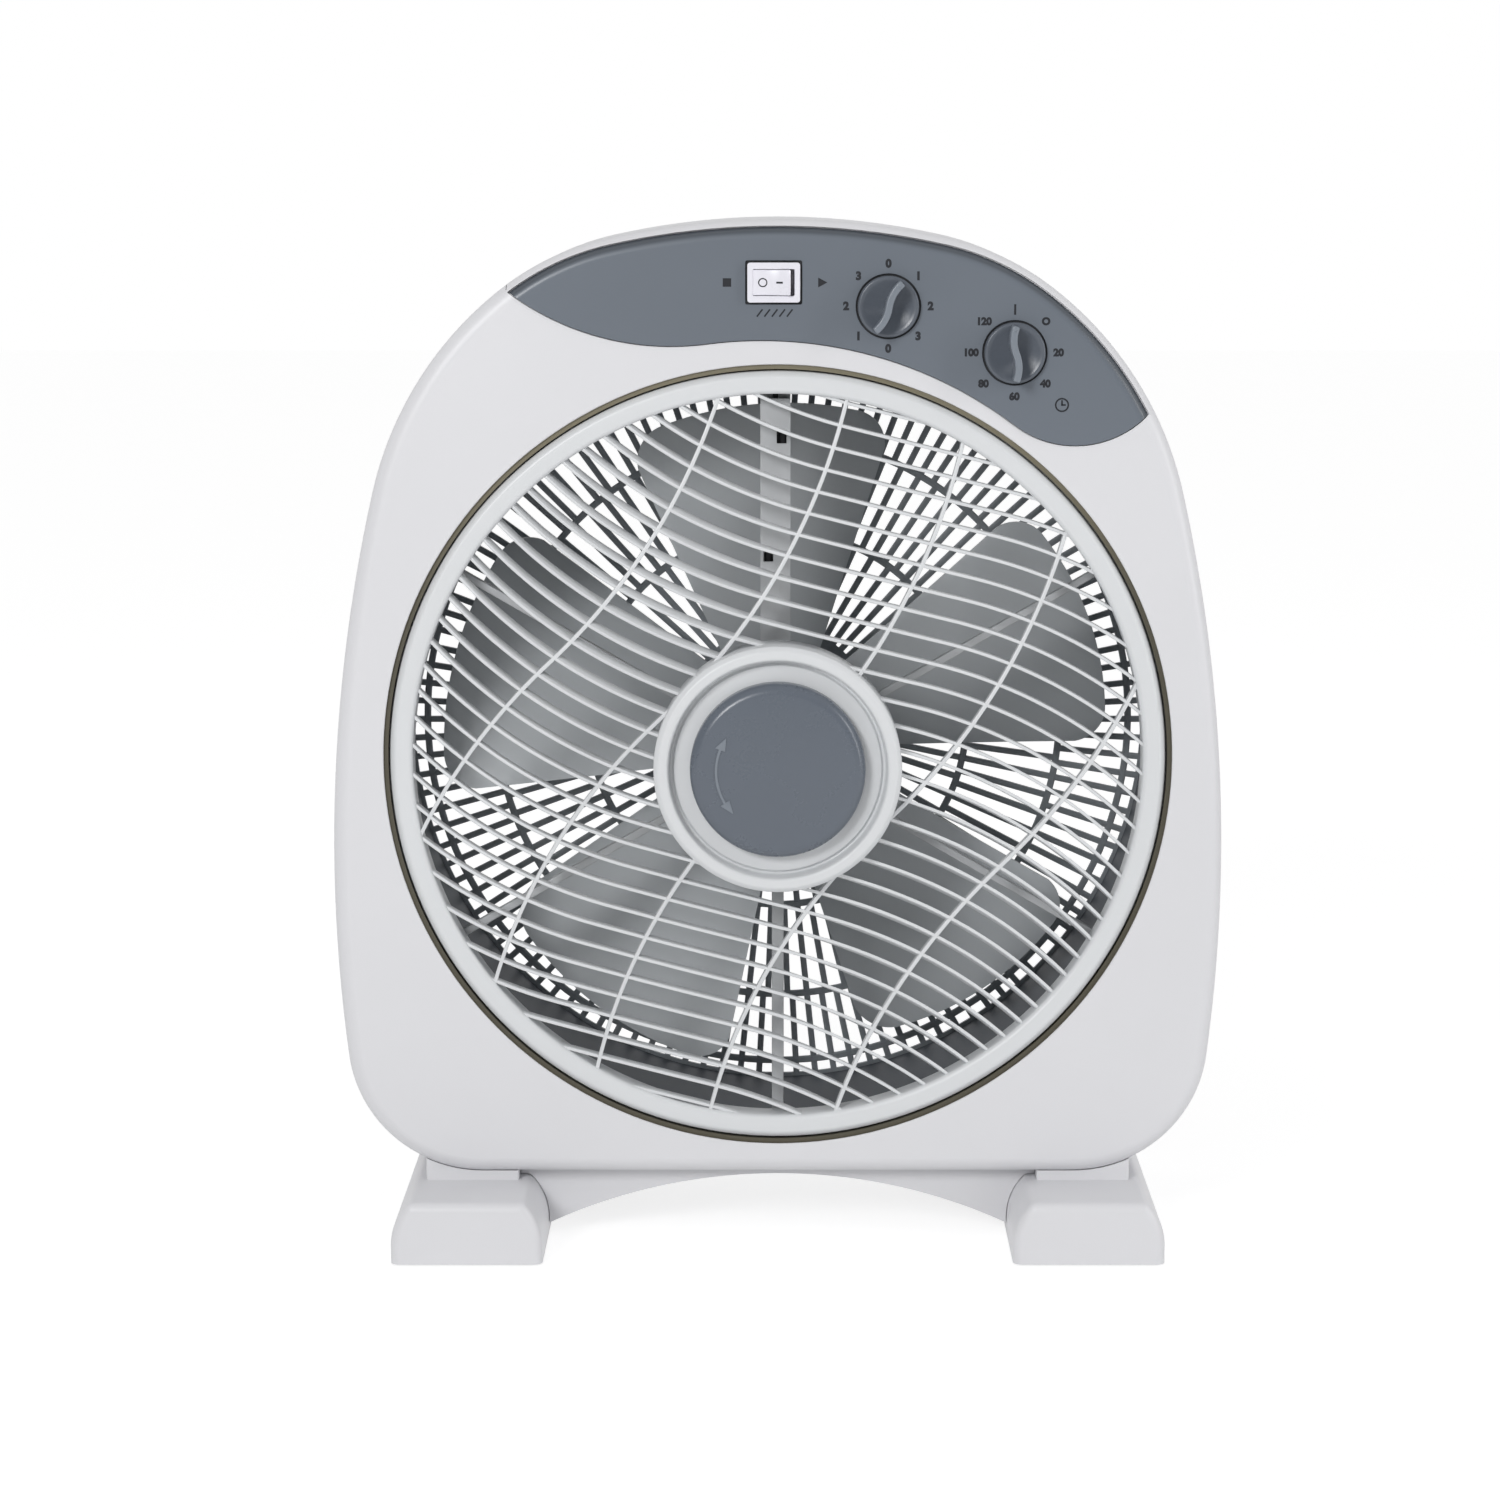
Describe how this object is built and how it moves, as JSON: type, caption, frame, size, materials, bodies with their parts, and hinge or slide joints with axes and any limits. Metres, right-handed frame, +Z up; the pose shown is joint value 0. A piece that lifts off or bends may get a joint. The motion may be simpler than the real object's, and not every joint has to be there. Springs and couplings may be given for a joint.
{
  "type": "box fan",
  "caption": "Portable box fan: rounded casing on two feet, rotating slatted air louver with screw cap, impeller and motor inside, rocker switch, speed and timer knobs.",
  "frame": {"origin": "on the floor under the middle of the fan, at the centre of its footprint", "axes": "+Z up, +Y towards the rear guard (the louver faces -Y), +X to the right seen from the front"},
  "size_m": [0.3882, 0.194, 0.4496],
  "materials": {
    "shell": "satin moulded plastic, off-white",
    "rear_plastic": "fine-grained moulded plastic, dark blue-grey",
    "panel_plastic": "satin moulded plastic, blue-grey",
    "louver_plastic": "satin moulded plastic, light warm grey",
    "cap_plastic": "satin moulded plastic, blue-grey",
    "brass": "turned brass",
    "steel": "ground steel",
    "motor_steel": "rolled sheet steel, satin",
    "copper": "lacquered copper wire",
    "bracket_plastic": "satin moulded plastic, light grey",
    "blade_plastic": "glossy moulded plastic, mid grey",
    "knob_plastic": "semi-gloss moulded plastic, white",
    "switch_plastic": "moulded plastic, near black",
    "pad_rubber": "soft rubber, matt",
    "lead_sleeve": "flexible cable sleeve, matt",
    "screw_steel": "bright plated steel"
  },
  "bodies": {
    "housing": {"front_shell": "shell", "rear_shell": "rear_plastic", "rear_guard": "rear_plastic", "control_panel": "panel_plastic", "louver_motor": "steel", "motor_bracket": "bracket_plastic", "wire_duct_cover": "bracket_plastic", "motor_front_cover": "motor_steel", "motor_rear_cover": "motor_steel", "stator_stack": "motor_steel", "front_winding": "copper", "rear_winding": "copper", "front_bearing": "brass", "rear_bearing": "brass", "speed_switch": "switch_plastic", "timer_body": "switch_plastic", "run_capacitor": "switch_plastic", "rocker_frame": "knob_plastic", "base_bridge": "shell", "foot_left": "shell", "pad_front_left": "pad_rubber", "pad_rear_left": "pad_rubber", "foot_right": "shell", "pad_front_right": "pad_rubber", "pad_rear_right": "pad_rubber", "motor_lead": "lead_sleeve", "supply_lead": "lead_sleeve", "foot_screw_left_1": "screw_steel", "foot_screw_left_2": "screw_steel", "foot_screw_right_1": "screw_steel", "foot_screw_right_2": "screw_steel", "shell_screw_1": "screw_steel", "shell_screw_2": "screw_steel", "shell_screw_3": "screw_steel", "shell_screw_4": "screw_steel", "guard_screw_1": "screw_steel", "guard_screw_2": "screw_steel", "guard_screw_3": "screw_steel", "guard_screw_4": "screw_steel", "motor_bolt_1": "screw_steel", "motor_bolt_2": "screw_steel", "drive_screw_1": "screw_steel", "drive_screw_2": "screw_steel", "cord_inlet": "pad_rubber"},
    "rotor": {"motor_shaft": "steel", "motor_rotor": "motor_steel", "impeller": "blade_plastic", "blade_nut": "panel_plastic"},
    "louver": {"louver_grille": "louver_plastic", "louver_bush": "brass", "louver_shaft": "steel"},
    "cap": {"cap_nut": "cap_plastic"},
    "speed_control": {"speed_knob": "panel_plastic", "speed_shaft": "brass"},
    "timer_control": {"timer_knob": "panel_plastic", "timer_shaft": "brass"},
    "rocker": {"rocker_paddle": "knob_plastic"}
  },
  "joints": [
    {"name": "impeller_spin", "type": "hinge", "parent": "housing", "child": "rotor", "pos_m": [0, 0.015, 0.21687], "axis": [0, 1, 0], "continuous": true},
    {"name": "louver_spin", "type": "hinge", "parent": "housing", "child": "louver", "pos_m": [0, -0.07, 0.21687], "axis": [0, 1, 0], "continuous": true},
    {"name": "cap_turn", "type": "hinge", "parent": "louver", "child": "cap", "pos_m": [0, -0.088, 0.21687], "axis": [0, 1, 0], "range_deg": [-360, 0]},
    {"name": "speed_turn", "type": "hinge", "parent": "housing", "child": "speed_control", "pos_m": [0.0471, -0.065, 0.41277], "axis": [0, 1, 0], "continuous": true},
    {"name": "timer_turn", "type": "hinge", "parent": "housing", "child": "timer_control", "pos_m": [0.1011, -0.065, 0.39307], "axis": [0, 1, 0], "range_deg": [0, 315]},
    {"name": "rocker_tilt", "type": "hinge", "parent": "housing", "child": "rocker", "pos_m": [-0.0017, -0.0609, 0.42287], "axis": [0, 0, 1], "range_deg": [0, 20]}
  ]
}
